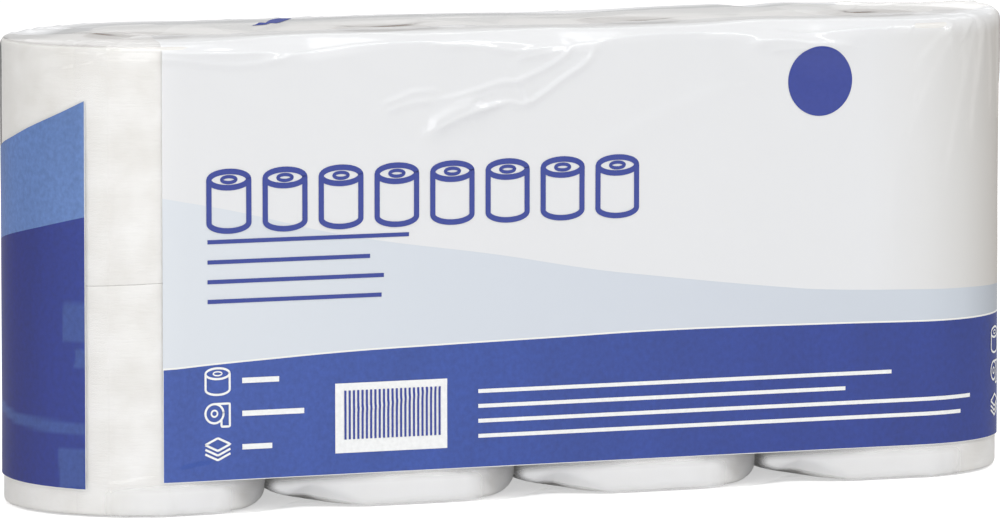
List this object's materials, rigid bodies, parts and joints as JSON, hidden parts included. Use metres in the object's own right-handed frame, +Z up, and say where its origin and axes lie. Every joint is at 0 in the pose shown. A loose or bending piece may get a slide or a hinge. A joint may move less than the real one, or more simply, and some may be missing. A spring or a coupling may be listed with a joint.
{
  "type": "toilet paper roll pack",
  "caption": "Oblong pack of toilet paper rolls standing on end in stacked layers, wrapped in clear film with blue and white printed fields and folded ends.",
  "frame": {"origin": "middle of the footprint, on the surface that the pack rests on", "axes": "+X along the row of rolls to the right as seen from the front, +Y from the front to the back, +Z up along the roll axes"},
  "size_m": [0.438, 0.111, 0.1923],
  "materials": {
    "film": "glossy clear polyethylene film, printed with fields of colour",
    "paper": "soft white tissue, embossed",
    "cardboard": "matte grey-brown board"
  },
  "bodies": {
    "root": {"film_wrap": "film", "roll_lower_1": "paper", "roll_lower_2": "paper", "roll_lower_3": "paper", "roll_lower_4": "paper", "roll_upper_1": "paper", "roll_upper_2": "paper", "roll_upper_3": "paper", "roll_upper_4": "paper", "core_lower_1": "cardboard", "core_lower_2": "cardboard", "core_lower_3": "cardboard", "core_lower_4": "cardboard", "core_upper_1": "cardboard", "core_upper_2": "cardboard", "core_upper_3": "cardboard", "core_upper_4": "cardboard"}
  },
  "joints": []
}
